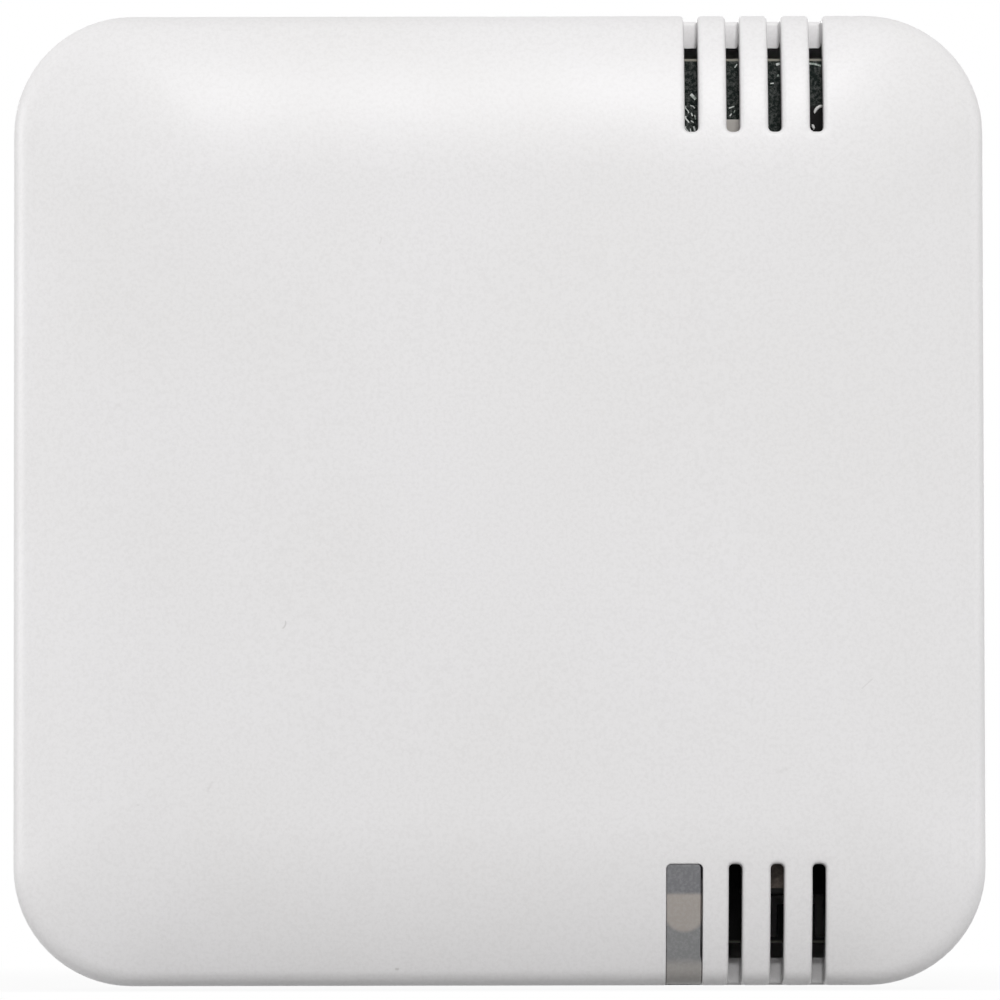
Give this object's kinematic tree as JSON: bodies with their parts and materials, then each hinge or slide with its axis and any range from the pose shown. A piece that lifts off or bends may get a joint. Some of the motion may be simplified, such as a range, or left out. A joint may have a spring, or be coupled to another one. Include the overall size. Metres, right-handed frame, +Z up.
{
  "type": "temperature and humidity sensor",
  "caption": "Square wall-mounted room sensor with a cushion-shaped cover, vents over its top and bottom edges and a grey light window, holding a board and cells on a wall plate.",
  "frame": {"origin": "middle of the wall face of the back plate", "axes": "+Y into the wall, so the front faces -Y; +Z up and +X to the right as the front is looked at"},
  "size_m": [0.086, 0.026, 0.086],
  "materials": {
    "white_plastic": "fine moulded grain, white",
    "plate_plastic": "fine moulded grain, white",
    "grey_window": "frosted, smoke grey",
    "board_laminate": "dark solder mask",
    "module_laminate": "green solder mask",
    "zinc_steel": "zinc plated",
    "tinned_steel": "tin plated",
    "gilt_steel": "nickel plated, warm",
    "cell_sleeve": "shrunk plastic sleeve",
    "holder_plastic": "black moulding",
    "can_aluminium": "drawn can",
    "black_epoxy": "black moulding compound",
    "dark_ferrite": "sintered ferrite",
    "ceramic": "grey-beige ceramic",
    "lens": "clear yellowish resin",
    "eye_resin": "beige diffusing resin"
  },
  "bodies": {
    "root": {"front_cover": "white_plastic", "light_window": "grey_window", "back_plate": "plate_plastic", "circuit_board": "board_laminate", "board_screw_1": "zinc_steel", "board_screw_2": "zinc_steel", "board_screw_3": "zinc_steel", "board_screw_4": "zinc_steel", "cell_holder_1": "holder_plastic", "cell_holder_2": "holder_plastic", "cell_1": "cell_sleeve", "cell_2": "cell_sleeve", "contact_spring_1": "tinned_steel", "contact_spring_2": "tinned_steel", "contact_plate_1": "gilt_steel", "contact_plate_2": "gilt_steel", "buffer_capacitor": "can_aluminium", "capacitor_base": "black_epoxy", "humidity_sensor": "black_epoxy", "light_sensor": "eye_resin", "status_led": "lens", "filter_inductor": "ceramic", "voltage_monitor": "black_epoxy", "bypass_capacitor_1": "ceramic", "bypass_capacitor_2": "ceramic", "radio_module": "module_laminate", "radio_shield": "tinned_steel", "aerial": "tinned_steel", "processor": "black_epoxy", "memory_chip": "black_epoxy", "tag_chip": "black_epoxy", "voltage_regulator": "black_epoxy", "power_inductor": "dark_ferrite", "clock_crystal": "tinned_steel"}
  },
  "joints": []
}
